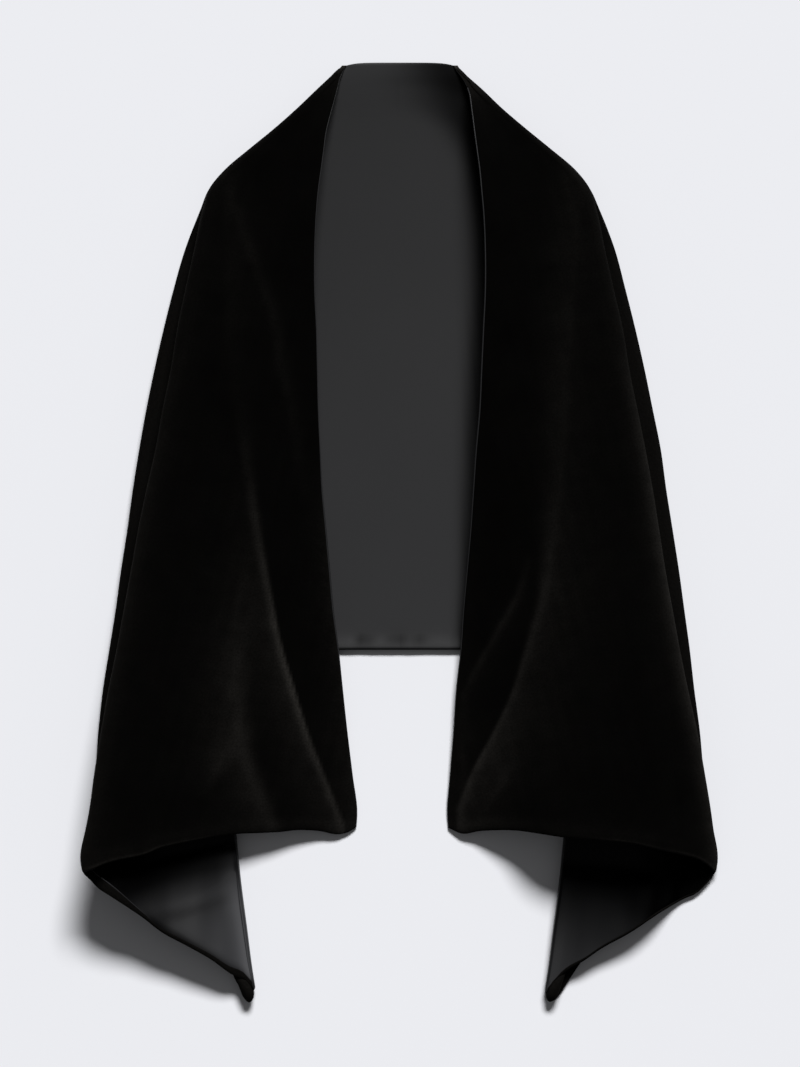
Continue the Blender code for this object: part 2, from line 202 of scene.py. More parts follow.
# The side fold: heights of its top, of its outermost line and of the tail under it, how far in its
# curve begins, and how far that curve has slumped into a straight slope.
Side = namedtuple("Side", "down top middle low reach slump")
SHOULDER_SIDE = table(
    Side,
    (0, 2.6, 2.6, 0, 4, 0), (6, 4.6, 3.8, 1, 4, 0), (28, 15, 10, 4, 5, 0), (73, 25, 16, 9, 6, 0),
    (120, 30, 21, 14, 7, 0), (160, 33, 25, 18, 7, 0), (250, 38, 30, 23, 8, 0),
    (338, 42, 34, 27, 8, 0), (427, 46, 38, 31, 8, 0),
)
LEFT_SIDE = SHOULDER_SIDE + table(
    Side,
    (515, 50, 41, 34, 9, 0), (604, 54, 44, 37, 10, 0), (692, 58, 47, 39, 11, 0),
    (787, 62, 50, 43, 13, 0), (845, 65, 53, 46, 14, 0), (894, 69, 56, 49, 14, 0),
)
RIGHT_SIDE = SHOULDER_SIDE + table(
    Side,
    (515, 50, 41, 34, 10, 0), (604, 54, 43, 36, 12, 0.1), (692, 56, 42, 34, 17, 0.3),
    (787, 50, 31, 25, 27, 0.7), (845, 43, 18, 12, 34, 0.9), (894, 39, 7, 4, 38, 0.95),
)

# Heights along the hems over the floor, by the share of the way across: the front's from its inner
# edge to where the side fold begins, and the tail's from under the side fold to the inner bend.
LEFT_HEM_RISE = (
    (0, 1.6), (0.13, 7), (0.285, 16.5), (0.42, 25), (0.53, 34), (0.66, 47), (0.8, 58), (1, 69),
)
RIGHT_HEM_RISE = (
    (0, 1.5), (0.09, 7.5), (0.155, 14.5), (0.217, 21.5), (0.285, 29.5), (0.35, 39), (0.39, 45), (0.42, 48),
    (0.52, 54), (0.68, 58), (0.82, 58), (0.894, 56), (0.94, 50), (0.978, 42), (1, 39),
)
LEFT_TAIL_RISE = (
    (0, 49), (0.07, 51.5), (0.16, 50), (0.27, 43.5), (0.38, 37.5), (0.49, 33), (0.61, 30.5), (0.72, 27),
    (0.83, 21), (0.91, 14.5), (0.96, 11), (1, 10),
)
RIGHT_TAIL_RISE = (
    (0, 4), (0.13, 3), (0.2, 3.4), (0.24, 5.8), (0.28, 10.3), (0.32, 15), (0.36, 18.8), (0.42, 20.5),
    (0.535, 19), (0.66, 17.7), (0.78, 15), (0.86, 12), (0.93, 10.4), (1, 10),
)

# Crests that run down the fronts: points (down, out), heights at the start, in the middle and at the end,
# and half width. A painted sheen lies along them, as (down, lightness), sharp on the side of the inner edge,
# over a width as (down, width), and fading outwards, with a share of it in the halo.
Crest = namedtuple("Crest", "path heights half_width light inner_width halo halo_share")
LEFT_CRESTS = (
    Crest(((150, 191), (200, 190), (322, 189), (450, 169), (530, 156), (585, 145), (640, 134), (688, 120),
           (743, 103), (794, 83), (843, 64)), (0, 7, 0.5), 17,
          ((150, 0.03), (240, 0.05), (400, 0.05), (480, 0.25), (600, 0.85), (700, 1.3), (780, 0.8),
           (850, 0.6)),
          ((150, 30), (340, 18), (450, 7), (560, 3), (850, 2.5)), 24, 0.33),
    Crest(((120, 199), (193, 172), (237, 157), (277, 142), (333, 134), (377, 123), (450, 112), (487, 105)),
          (0, 4, 0), 13,
          ((120, 0.05), (250, 0.08), (430, 0.05), (490, 0.0)), ((120, 9), (490, 10)), 14, 0.6),
    Crest(((560, 178), (648, 182), (703, 184), (783, 170), (820, 153), (845, 142)), (0, 5, 0), 20,
          ((520, 0.0), (600, 0.1), (700, 0.34), (790, 0.42), (850, 0.2)), ((520, 24), (700, 14), (850, 9)),
          24, 0.95),
    Crest(((745, 190), (783, 204), (815, 222)), (0, 3, 0), 12,
          ((745, 0.0), (783, 0.15), (815, 0.0)), ((745, 9), (815, 9)), 12, 0.5),
)
RIGHT_CRESTS = (
    Crest(((140, 199), (252, 190), (303, 187), (340, 184), (432, 179), (523, 169), (596, 158), (644, 143),
           (699, 125), (739, 106), (780, 84), (824, 66)), (0, 6, 0), 17,
          ((140, 0.1), (250, 0.1), (340, 0.12), (520, 0.22), (600, 0.36), (700, 0.45), (760, 0.65),
           (850, 0.3)),
          ((140, 30), (340, 26), (500, 14), (596, 6), (660, 3.5), (850, 3)), 36, 0.6),
    Crest(((540, 145), (585, 132), (633, 106), (677, 81), (700, 70)), (0, 3.5, 0), 13,
          ((540, 0.0), (600, 0.2), (660, 0.2), (710, 0.05)), ((540, 5), (700, 4)), 14, 0.5),
    Crest(((770, 126), (802, 110), (831, 90)), (0, 2.5, 0), 12,
          ((770, 0.0), (800, 0.12), (831, 0.05)), ((770, 6), (831, 6)), 12, 0.5),
)

# How far the front's hem drops below its corner, by the share of the way round the side fold, and how
# far the tail's hem and the underfold's edge lie below straight lines between their ends.
LEFT_HEM = (
    (0, 0), (0.03, 5), (0.06, 7), (0.135, 3.5), (0.21, 2.4), (0.28, 4.6), (0.35, 5.7), (0.45, 7),
    (0.53, 10.5), (0.59, 14), (0.68, 19.5), (0.724, 23), (0.77, 29), (0.815, 32.5), (0.86, 35),
    (0.907, 38.5), (0.943, 42.5), (0.975, 47), (1, 49),
)
RIGHT_HEM = (
    (0, 0), (0.044, 6), (0.12, 3.5), (0.27, 3.5), (0.34, 6.5), (0.43, 10.5), (0.56, 13.5), (0.7, 18),
    (0.79, 24), (0.883, 30), (0.94, 35), (0.983, 43.5), (1, 49),
)
LEFT_TAIL_BOW = (
    (0, 7), (0.05, 10), (0.11, 9.5), (0.225, 8), (0.34, 7), (0.41, 8), (0.6, 2), (0.75, -2), (0.86, -2),
    (0.95, -6), (1, -3),
)
RIGHT_TAIL_BOW = (
    (0, 5), (0.05, 9), (0.1, 10), (0.15, 7), (0.3, 2), (0.48, 1), (0.69, -5), (0.76, -5), (0.91, -7),
    (1, 0),
)
LEFT_UNDER_BOW = ((0, 2), (0.03, 18), (0.06, 23), (0.09, 18), (0.15, 14), (0.4, 5), (1, 0))
RIGHT_UNDER_BOW = ((0, 6), (0.025, 16), (0.06, 22), (0.1, 24), (0.15, 22), (0.25, 22), (0.5, 6), (1, 0))

# Heights of the fronts' inner edges over the floor, as (down, height).
LEFT_FRONT_EDGE = (
    (0, 2.6), (6, 4.4), (28, 12), (73, 26), (120, 33), (205, 36), (338, 36), (427, 33), (515, 27), (604, 19),
    (692, 12), (787, 5), (845, 1.8),
)
RIGHT_FRONT_EDGE = (
    (0, 2.6), (6, 4.8), (28, 17), (73, 37), (120, 47), (205, 50), (338, 48), (427, 43), (515, 31), (604, 16),
    (692, 9), (787, 5), (845, 2),
)

# Width of the velvet turned over the tail's hem, by the share of the way across, in millimetres.
LEFT_HEM_TURN = (
    (0, 8), (0.1, 13), (0.2, 14.5), (0.3, 13), (0.38, 8.5), (0.46, 4.5), (0.62, 4), (0.8, 5.5),
    (0.93, 8), (1, 8),
)
RIGHT_HEM_TURN = ((0, 5), (0.1, 2.6), (0.5, 2.2), (0.8, 2.4), (0.94, 4), (1, 4))

# The turned velvet stands out beyond the hem, is this thick at its sides and twice that in its middle,
# and is sunk into the lining's satin, in millimetres.
HEM_TURN_BEYOND = 1.2
HEM_TURN_THICK = 0.9
HEM_TURN_SUNK = 0.4

# Painted light and shade on the satin, where 1 is plain: down the back, on each tail across from the side
# fold to the inner bend, as a painted shadow by the distance below the front's hem, and as painted light
# left in the core of that shadow. The last two give painted shade in the puckers at the back's bottom edge
# and on the edge itself.
BACK_SHEEN = (
    (0, 0.97), (10, 0.9), (20, 0.85), (39, 0.81), (72, 0.84), (150, 0.9), (260, 0.97), (370, 1.12),
    (600, 1.27),
)
LEFT_TAIL_SHEEN = (
    (0, 0.6), (0.35, 0.7), (0.45, 0.7), (0.55, 0.88), (0.65, 1.05), (0.75, 1.3), (0.8, 1.55), (0.85, 1.85),
    (0.88, 2.3), (0.92, 3.2), (0.96, 4.4), (1, 5.0), (1.06, 2.0), (1.2, 0.5),
)
RIGHT_TAIL_SHEEN = (
    (0, 0.3), (0.15, 0.3), (0.22, 0.15), (0.26, 0.1), (0.32, 0.14), (0.38, 0.35), (0.44, 0.6), (0.52, 0.85),
    (0.6, 1.02), (0.75, 1.25), (0.9, 1.4), (1, 1.5), (1.06, 1.0), (1.2, 0.5),
)
LEFT_HEM_SHADE = ((18, 0.0), (27, 0.06), (36, 0.12), (43, 0.25), (50, 0.42), (57, 0.6), (66, 0.8), (80, 1))
RIGHT_HEM_SHADE = (
    (36, 0.05), (44, 0.08), (51, 0.09), (64, 0.12), (77, 0.19), (91, 0.31), (104, 0.44), (122, 0.62),
    (145, 0.85),
)
UMBRA_SHEEN = 0.35
BACK_PUCKER_DARK = 0.32
BACK_EDGE_DARK = 0.85

# Shade that the right front throws on the back beside it, as (down, share) and (down, width).
EDGE_SHADE = (
    (0, 0.86), (8, 0.88), (17, 0.92), (28, 0.92), (39, 0.87), (72, 0.95), (110, 0.85), (150, 0.66),
    (260, 0.78), (370, 0.78), (500, 0.6), (650, 0.55),
)
EDGE_SHADE_WIDTH = (
    (0, 54), (8, 57), (17, 64), (28, 59), (39, 58), (72, 32), (110, 19), (150, 16.5), (400, 16),
    (500, 12), (650, 9),
)
EDGE_SHADE_POWER = 2.5

# The line of a soft crease across the left tail, as (out, down), drawn only in paint: a painted highlight on
# one side and painted shade on the other.
TAIL_CREASE = ((180, 914), (205, 922), (232, 931), (282, 941))
CREASE_LIGHT = 0.22
CREASE_DARK = 0.3

# Radius of the satin lip along the front's inner edge, as (down, radius), and how far out it lies.
LEFT_LIP = (
    (5, 0.25), (60, 0.45), (200, 0.65), (300, 0.45), (430, 0.5), (500, 0.95), (630, 0.95), (690, 0.5),
    (845, 0.45),
)
RIGHT_LIP = ((22, 0.75), (300, 0.85), (500, 0.85), (650, 0.6), (845, 0.45))
LIP_OUT = 0.15

# The rounded velvet tip of each tail: points (out, down), height over the floor and radius.
Blob = namedtuple("Blob", "out down height radius")
LEFT_TIP = table(
    Blob,
    (187, 1000, 10, 0.3), (185, 1002, 10, 2), (180, 1009, 10, 4.2), (174, 1016, 9.5, 6),
    (170, 1023, 8.5, 7), (168, 1029, 8, 6.8), (167, 1034, 7.5, 5), (167, 1037, 7, 2.8),
    (167, 1038.3, 7, 0.3),
)
RIGHT_TIP = table(
    Blob,
    (184, 1002, 9, 0.3), (182, 1004, 9, 2), (178, 1010, 9, 4), (173.5, 1017, 8.5, 6),
    (170, 1024, 8, 7), (168, 1030, 7.5, 6.8), (166.5, 1034, 7, 5.2), (166, 1036.6, 7, 2.8),
    (166, 1037.8, 7, 0.3),
)

# The satin piping beside the left tail's turned hem: its radius and its height over the satin.
PIPING_RADIUS = 0.65
PIPING_RISE = 0.7
OUTWARDS = np.array([1.0, 0.0, 0.0])

# One half of the stole: its side of the centre line, its tables, the seeds of its waves, how strong its
# puckers and its painted lights and shades are, and the share of the tail's hem that the piping runs along.
HALVES = (
    SimpleNamespace(
        name="left", side=-1, outline=LEFT_OUTLINE, side_rows=LEFT_SIDE, crests=LEFT_CRESTS, hem=LEFT_HEM,
        hem_rise=LEFT_HEM_RISE, tail_rise=LEFT_TAIL_RISE, tail_bow=LEFT_TAIL_BOW, under_bow=LEFT_UNDER_BOW,
        front_edge=LEFT_FRONT_EDGE, hem_turn=LEFT_HEM_TURN, lip=LEFT_LIP, tip=LEFT_TIP,
        front_seed=11, tail_seed=31, edge_pucker=0.35, neck_light=0.12,
        edge_glow=Glow(0.16, 14, 380, 200), fold_glow=Glow(0.14, 6, 200, 350),
        tail_sheen=LEFT_TAIL_SHEEN, low_sheen=0.6, hem_shade=LEFT_HEM_SHADE, hem_dark=0.85,
        crease=TAIL_CREASE, piping_end=0.47,
    ),
    SimpleNamespace(
        name="right", side=1, outline=RIGHT_OUTLINE, side_rows=RIGHT_SIDE, crests=RIGHT_CRESTS,
        hem=RIGHT_HEM, hem_rise=RIGHT_HEM_RISE, tail_rise=RIGHT_TAIL_RISE, tail_bow=RIGHT_TAIL_BOW,
        under_bow=RIGHT_UNDER_BOW, front_edge=RIGHT_FRONT_EDGE, hem_turn=RIGHT_HEM_TURN, lip=RIGHT_LIP,
        tip=RIGHT_TIP, front_seed=23, tail_seed=47, edge_pucker=0.0, neck_light=0.4,
        edge_glow=Glow(0.05, 14, 380, 200), fold_glow=Glow(0.5, 6, 200, 350),
        tail_sheen=RIGHT_TAIL_SHEEN, low_sheen=0.0, hem_shade=RIGHT_HEM_SHADE, hem_dark=0.0,
        crease=(), piping_end=0.0,
    ),
)


def curve(points):
    """A smooth function through (position, value) points."""
    xs, ys = np.array(points, float).T
    slopes = np.gradient(ys, xs)

    def at(x):
        x = np.clip(x, xs[0], xs[-1])
        i = np.clip(np.searchsorted(xs, x, side="right") - 1, 0, len(xs) - 2)
        width = xs[i + 1] - xs[i]
        t = (x - xs[i]) / width
        ends = (1 + 2 * t) * (1 - t) ** 2 * ys[i] + t * t * (3 - 2 * t) * ys[i + 1]
        return ends + width * (t * (1 - t) ** 2 * slopes[i] - t * t * (1 - t) * slopes[i + 1])

    return at


def column(rows, name):
    """A smooth function of the distance down, through one column of a table."""
    return curve([(row.down, getattr(row, name)) for row in rows])


def blend(a, b, t):
    return a + (b - a) * t


def ease(t):
    """A smooth step from 0 to 1 while t goes from 0 to 1."""
    t = np.clip(t, 0.0, 1.0)
    return t * t * (3 - 2 * t)


def bell(x, width):
    """A smooth hump of height 1 around 0."""
    return np.exp(-(x / width) ** 2)


def glow(rim, distance, station):
    """Painted sheen beside a line of the front, brightest on the line."""
    return rim.strength * np.exp(-distance / rim.spread) * ease((station - rim.start) / rim.over)


def unit(vectors):
    return vectors / np.maximum(np.linalg.norm(vectors, axis=-1, keepdims=True), 1e-12)


def waves(x, y, seed, shortest, longest, count=14):
    """A smooth field from -1 to 1 or so: sine waves of seeded directions and lengths in between."""
    random = np.random.RandomState(seed)
    total = 0.0
    for _ in range(count):
        angle = random.uniform(0, math.pi)
        length = math.exp(random.uniform(math.log(shortest), math.log(longest)))
        phase = random.uniform(0, 2 * math.pi)
        along = x * math.cos(angle) + y * math.sin(angle)
        total = total + np.sin(2 * math.pi * along / length + phase)
    return total / math.sqrt(count)


def edged_steps(start, end, cells, at_start=True, at_end=True):
    """Positions from start to end, close together at the ends that are edges of the cloth."""
    first = [start + step for step in EDGE_STEPS] if at_start else [start]
    last = [end - step for step in reversed(EDGE_STEPS)] if at_end else [end]
    return np.concatenate([first, np.linspace(first[-1], last[0], cells + 1)[1:-1], last])


def quarter(centre_x, centre_z, reach, rise, first, last):
    """Points (out, height) on a quarter of an ellipse, between two angles in degrees, ends included."""
    turns = np.radians(np.linspace(first, last, FOLD_CELLS + 1))
    return centre_x + reach * np.cos(turns), centre_z + rise * np.sin(turns)


def crest_lift(crests, out, down):
    """The height that a front's crests add."""
    lift = 0.0
    for crest in crests:
        line = curve(crest.path)
        first, last = crest.path[0][0], crest.path[-1][0]
        start, middle, end = crest.heights
        height = curve(((first, start), ((first + last) / 2, middle), (last, end)))
        across = np.abs(out - line(down)) / crest.half_width
        lift = lift + height(down) * np.exp(CREST_ROUND - np.sqrt(across ** 2 + CREST_ROUND ** 2))
    return lift


def crest_light(crests, out, down):
    """Painted sheen along a front's crests."""
    light = 0.0
    for crest in crests:
        beside = out - curve(crest.path)(down)
        inner = bell(beside, curve(crest.inner_width)(down))
        halo = np.exp(-np.maximum(beside, 0) / crest.halo)
        outer = blend(bell(beside, CREST_CORE), halo, crest.halo_share)
        light = light + curve(crest.light)(down) * np.where(beside < 0, inner, outer)
    return light


def edge_distances(grid, first_row, first_column):
    """Each point's distance in millimetres to the last row, and to the other edges that are asked for."""
    steps_along = np.linalg.norm(np.diff(grid, axis=0), axis=-1)
    along = np.vstack([np.zeros(grid.shape[1]), np.cumsum(steps_along, axis=0)])
    far = along[-1] - along
    if first_row:
        far = np.minimum(far, along)
    if first_column:
        steps_across = np.linalg.norm(np.diff(grid, axis=1), axis=-1)
        across = np.hstack([np.zeros((grid.shape[0], 1)), np.cumsum(steps_across, axis=1)])
        far = np.minimum(far, across)
    return far


# A grid of (out, down, height) with each point's distance to the cloth's edges, the velvet's painted sheen
# and the satin's painted light and shade.
Stretch = namedtuple("Stretch", "grid far light sheen")


def stretch(grid, first_row=False, first_column=False, light=UNDER_LIGHT, sheen=1.0):
    shape = grid.shape[:2]
    far = edge_distances(grid, first_row, first_column)
    return Stretch(grid, far, np.broadcast_to(light, shape), np.broadcast_to(sheen, shape))


class Wing:
    """One half of the cloth, worked out row by row: front, tail, underfold and half the back."""

    def __init__(self, half):
        self.half = half
        self.inner = column(half.outline, "inner")
        self.side_fold = column(half.outline, "side_fold")
        self.outer_fold = column(half.outline, "outer_fold")
        self.front_edge = curve(half.front_edge)
        self.bend_out = curve(BEND_OUT)
        self.tail_bend = curve(TAIL_BEND)
        self.under_bend = curve(UNDER_BEND)
        self.under_fold = curve(UNDER_FOLD)
        self.side = {name: column(half.side_rows, name) for name in Side._fields[1:]}
        self.hem = curve(half.hem)
        self.hem_rise = curve(half.hem_rise)
        self.tail_rise = curve(half.tail_rise)
        self.tail_bow = curve(half.tail_bow)
        self.under_bow = curve(half.under_bow)
        self.stations = edged_steps(NECK_START, CORNER_DOWN, ROW_CELLS)
        self.fold_downs = self.stations + self.drop(1.0, self.stations)
        self.split_row = int(np.argmin(np.abs(self.fold_downs - SPLIT_DOWN)))
        split = self.fold_downs[self.split_row]
        above = self.fold_downs <= split
        self.shares = np.clip((self.fold_downs - split) / (FOLD_END_DOWN - split), 0, 1)
        self.bend_downs = np.where(above, self.fold_downs, blend(split, TIP_DOWN, self.shares))
        self.outer_downs = np.where(above, self.fold_downs, blend(split, OUTER_FOLD_END_DOWN, self.shares))
        self.open = ease((self.fold_downs - split) / SPLIT_OPENS_OVER)

    def drop(self, across, station):
        """How far down a point of the front lies below its row's start at the inner edge."""
        return self.hem(across) * (station / CORNER_DOWN) ** FRONT_HEM_POWER

    def levels(self, j):
        """Where one row's folds lie, and their heights. Above the split, they close on one joint."""
        fold_down, bend_down, outer_down = self.fold_downs[j], self.bend_downs[j], self.outer_downs[j]
        top = self.side["top"](fold_down)
        joint = (top + BACK_HEIGHT) / 2

        def opened(height):
            return blend(joint, height, self.open[j])

        side_out = self.side_fold(fold_down)
        bend_out = min(self.bend_out(bend_down), side_out - LEAST_TAIL)
        bend_top = opened(self.tail_bend(bend_down))
        bend_low = opened(self.under_bend(bend_down))
        bend_reach = BEND_SHARPNESS * (bend_top - bend_low) / 2
        under_fold = self.under_fold(outer_down)
        return SimpleNamespace(
            fold_down=fold_down, bend_down=bend_down, outer_down=outer_down,
            inner=self.inner(self.stations[j]), side_out=side_out, bend_out=bend_out,
            outer_out=self.outer_fold(outer_down), top=top,
            side_middle=opened(self.side["middle"](fold_down)), side_low=opened(self.side["low"](fold_down)),
            bend_top=bend_top, bend_low=bend_low, outer_top=opened(under_fold),
            outer_middle=opened((under_fold + BACK_HEIGHT) / 2),
            bend_reach=min(bend_reach, MOST_FOLD_SHARE * (side_out - bend_out)),
        )

    def inner_bend(self, at, first, last):
        """Points on the bend between the tail and the underfold, between two angles in degrees."""
        middle = (at.bend_top + at.bend_low) / 2
        return quarter(at.bend_out + at.bend_reach, middle, at.bend_reach, (at.bend_top - at.bend_low) / 2,
                       first, last)

    def front_row(self, j, at):
        """The front, from its inner edge to the side fold's outermost line."""
        station = self.stations[j]
        reach = min(self.side["reach"](at.fold_down), MOST_FOLD_SHARE * (at.side_out - at.inner))
        width = at.side_out - reach - at.inner
        u = edged_steps(0.0, width, FRONT_CELLS, at_end=False) / width
        x, z = quarter(at.side_out - reach, at.side_middle, reach, at.top - at.side_middle, 90, 0)
        slope = at.top - (at.top - at.side_middle) * (x - x[0]) / reach
        z = blend(z, slope, self.side["slump"](at.fold_down))
        out = np.append(at.inner + width * u, x[1:])
        down = station + self.drop((out - at.inner) / (at.side_out - at.inner), station)
        height = self.front_height(station, u, out[:len(u)], down[:len(u)], at.top)
        return np.stack([out, down, np.append(height, z[1:])], axis=-1)

    def tail_row(self, j, at):
        """The tail, from the side fold's outermost line, under it and in to the inner bend."""
        bow_share = self.shares[j] ** TAIL_BOW_POWER
        reach = min(at.side_middle - at.side_low, MOST_FOLD_SHARE * (at.side_out - at.bend_out))
        x, z = quarter(at.side_out - reach, at.side_middle, reach, at.side_middle - at.side_low, 0, -90)
        w = np.linspace(0, 1, TAIL_CELLS + 1)[1:]
        flat_out = blend(at.side_out - reach, at.bend_out + at.bend_reach, w)
        flat_down = blend(at.fold_down, at.bend_down, w) + self.tail_bow(w) * bow_share
        flat_height = self.tail_height(j, w, flat_out, flat_down, at)
        turning = ease(np.linspace(0, 1, FOLD_CELLS + 1))
        round_down = at.fold_down + self.tail_bow(0.0) * bow_share * turning
        bend_x, bend_z = self.inner_bend(at, 90, 180)
        return np.stack([
            np.concatenate([x, flat_out, bend_x[1:]]),
            np.concatenate([round_down, flat_down, np.full(FOLD_CELLS, flat_down[-1])]),
            np.concatenate([z, flat_height, bend_z[1:]]),
        ], axis=-1)

    def underfold_row(self, j, at, bend_down):
        """The underfold, from the inner bend out to the outer fold's outermost line."""
        bow_share = self.shares[j] ** UNDER_BOW_POWER
        x, z = self.inner_bend(at, 180, 270)
        reach = min(at.outer_top - at.outer_middle, MOST_FOLD_SHARE * (at.outer_out - at.bend_out))
        w = np.linspace(0, 1, UNDERFOLD_CELLS + 1)[1:] ** UNDERFOLD_SPACING
        flat_out = blend(at.bend_out + at.bend_reach, at.outer_out - reach, w)
        flat_down = blend(bend_down, at.outer_down, w) + self.under_bow(w) * bow_share
        round_down = bend_down + self.under_bow(0.0) * bow_share * np.linspace(0, 1, FOLD_CELLS + 1)
        fold_x, fold_z = quarter(at.outer_out - reach, at.outer_middle, reach,
                                 at.outer_top - at.outer_middle, 90, 0)
        return np.stack([
            np.concatenate([x, flat_out, fold_x[1:]]),
            np.concatenate([round_down, flat_down, np.full(FOLD_CELLS, at.outer_down)]),
            np.concatenate([z, blend(at.bend_low, at.outer_top, w), fold_z[1:]]),
        ], axis=-1)

    def back_row(self, j, at):
        """Half the back, from the outer fold's outermost line in to the centre line."""
        rise = at.outer_middle - BACK_HEIGHT
        innermost = at.inner if j < self.split_row else at.bend_out
        reach = min(rise, MOST_FOLD_SHARE * (at.outer_out - innermost))
        x, z = quarter(at.outer_out - reach, at.outer_middle, reach, rise, 0, -90)
        u = np.linspace(1, 0, BACK_CELLS + 1)[1:]
        first, last = self.outer_downs[0], self.outer_downs[-1]
        centre_down = blend(-NECK_RISE, BACK_BOTTOM_DOWN, (at.outer_down - first) / (last - first))
        slant = np.maximum(u - BACK_STRAIGHT_SHARE, 0) / (1 - BACK_STRAIGHT_SHARE)
        if at.outer_down < NECK_FORM_OVER:
            slant = blend(u ** NECK_FORM_POWER, slant, at.outer_down / NECK_FORM_OVER)
        flat_out = (at.outer_out - reach) * u
        flat_down = blend(centre_down, at.outer_down, slant)
        flat_height = BACK_HEIGHT + self.back_lift(flat_out, flat_down, centre_down)
        return np.stack([
            np.append(x, flat_out),
            np.append(np.full(FOLD_CELLS + 1, at.outer_down), flat_down),
            np.append(z, flat_height),
        ], axis=-1)

    def row(self, j):
        """The four stretches of one row."""
        at = self.levels(j)
        tail = self.tail_row(j, at)
        return self.front_row(j, at), tail, self.underfold_row(j, at, tail[-1, 1]), self.back_row(j, at)

    def front_height(self, station, u, out, down, top):
        edge = self.front_edge(station)
        hollow = FRONT_HOLLOW * np.sin(math.pi * u) * ease(station / FRONT_HOLLOW_OVER)
        height = blend(edge, top, np.sin(math.pi / 2 * u)) - hollow
        at_hem = self.hem_rise(u) + (edge - self.hem_rise(0.0)) * (1 - u) ** 4
        at_hem = at_hem + (top - self.hem_rise(1.0)) * u ** 4
        height = blend(height, at_hem, ease((station - HEM_FORM_FROM) / (HEM_FORM_FULL - HEM_FORM_FROM)))

        # Crests and slow waves, away from both sides.
        inside = ease(u * 6) * ease((1 - u) * 4)
        height = height + crest_lift(self.half.crests, out, down) * inside
        height = height + FRONT_WAVE * waves(out, down, self.half.front_seed, 60, 180) * inside

        # The hem's roll and puckers, and the puckers along the inner edge.
        to_hem = CORNER_DOWN - station
        beside = out - out[0]
        height = height + HEM_ROLL * bell(to_hem - 6, 4.5) * ease(u * 12)
        height = height + HEM_PUCKER * np.sin(out / 2.1) * bell(to_hem - 4, 5) * waves(out, down, 5, 15, 40)
        window = ease((station - 470) / 60) * ease((760 - station) / 60)
        pucker = np.sin((station + 0.9 * beside) / 2.3) * bell(beside - 5, 7)
        height = height + self.half.edge_pucker * pucker * window
        return np.maximum(height, LINING_SIDE + FLOOR_GAP)

    def tail_height(self, j, w, out, down, at):
        share = self.shares[j]
        lifted = ease((share - TAIL_FORM_FROM) / (1 - TAIL_FORM_FROM))
        height = blend(blend(at.side_low, at.bend_top, w ** 0.9), self.tail_rise(w), lifted)
        calm = ease(w * 5) * ease((1 - w) * 6)
        return height + TAIL_WAVE * waves(out, down, self.half.tail_seed, 40, 110) * calm * share

    def back_lift(self, out, down, centre_down):
        """The back stands up a little at its bottom edge."""
        to_edge = BACK_BOTTOM_DOWN - centre_down
        pucker = BACK_PUCKER * waves(out * self.half.side, down * 0.4, 3, 18, 40) * bell(to_edge, 18)
        return BACK_EDGE_LIFT * bell(to_edge, 12) + np.maximum(pucker, -0.4)

    def front_light(self, j, out, down):
        """Painted sheen along one row, from 0 to 1: on the crests, beside the folds and edges, at the hem
        and round the neck.
        """
        station = self.stations[j]
        beside = out - out[0]
        from_fold = self.side_fold(self.fold_downs[j]) - out
        to_hem = CORNER_DOWN - station
        light = FRONT_LIGHT + crest_light(self.half.crests, out, down)
        light = light + glow(self.half.fold_glow, from_fold, station)
        light = light + glow(FOLD_HALO, from_fold, station)
        light = light + glow(self.half.edge_glow, beside, station)
        light = light + HEM_LIGHT * np.exp(-to_hem / 12)
        light = light + self.half.neck_light * bell(station, 30)
        light = light + NECK_CORNER_LIGHT * bell(station, 5)
        light = light + HEM_RIM_LIGHT * bell(to_hem - 1.6, 1.3) * ease((out - 190) / 60)
        light = light + glow(EDGE_HALO, beside, station)
        light = light * (1 + 0.12 * waves(out, down, 7, 14, 60)) + 0.005 * waves(out, down, 9, 30, 90)
        return PAINTED_SHEEN_SCALE * light

    def back_sheen(self, out, down):
        """Painted light and shade on the back's satin. The right front's painted shade lies on the strip
        beside it.
        """
        to_edge = down[-1] - down
        pucker = 1 + 0.9 * waves(out * self.half.side, 0.0, 3, 18, 40)
        sheen = curve(BACK_SHEEN)(down)
        sheen = sheen * (1 - BACK_PUCKER_DARK * bell(to_edge - 11, 9) * pucker)
        sheen = sheen * (1 - BACK_EDGE_DARK * bell(to_edge - 1, 1.6))
        beside = np.maximum(self.inner(down) - self.half.side * out, 0)
        reach = beside / curve(EDGE_SHADE_WIDTH)(down)
        return sheen * (1 - curve(EDGE_SHADE)(down) * np.exp(-reach ** EDGE_SHADE_POWER))

    def tail_sheen(self, across, out, down):
        """Painted light and shade on a tail's satin: painted shadow under the front's hem, painted highlight
        along the inner bend.
        """
        half = self.half
        inner, outer = self.inner(CORNER_DOWN), self.side_fold(FOLD_END_DOWN)
        below = down - CORNER_DOWN - self.hem(np.clip((out - inner) / (outer - inner), 0, 1))
        to_edge = down[-1] - down
        sheen = curve(half.tail_sheen)(across)
        sheen = sheen + half.low_sheen * ease((below - 80) / 25) * ease((0.92 - across) / 0.1)
        umbra_end = half.hem_shade[0][0]
        umbra = UMBRA_SHEEN * ease((umbra_end - 5 - below) / 8) * ease(across * 4 - 1)
        sheen = sheen * curve(half.hem_shade)(below) + umbra
        # Painted shade along the tail's own hem, beside the turned velvet.
        sheen = sheen * (1 - half.hem_dark * np.exp(-(to_edge / 11.5) ** 3) * ease((across - 0.3) / 0.1))
        # A soft crease, drawn only as a painted highlight beside painted shade.
        if half.crease:
            beside = down - curve(half.crease)(out)
            window = ease((out - 180) / 25) * ease((285 - out) / 30)
            ridge = CREASE_LIGHT * bell(beside + 6, 6) - CREASE_DARK * bell(beside - 7, 7)
            sheen = sheen * (1 + window * ridge)
        return sheen

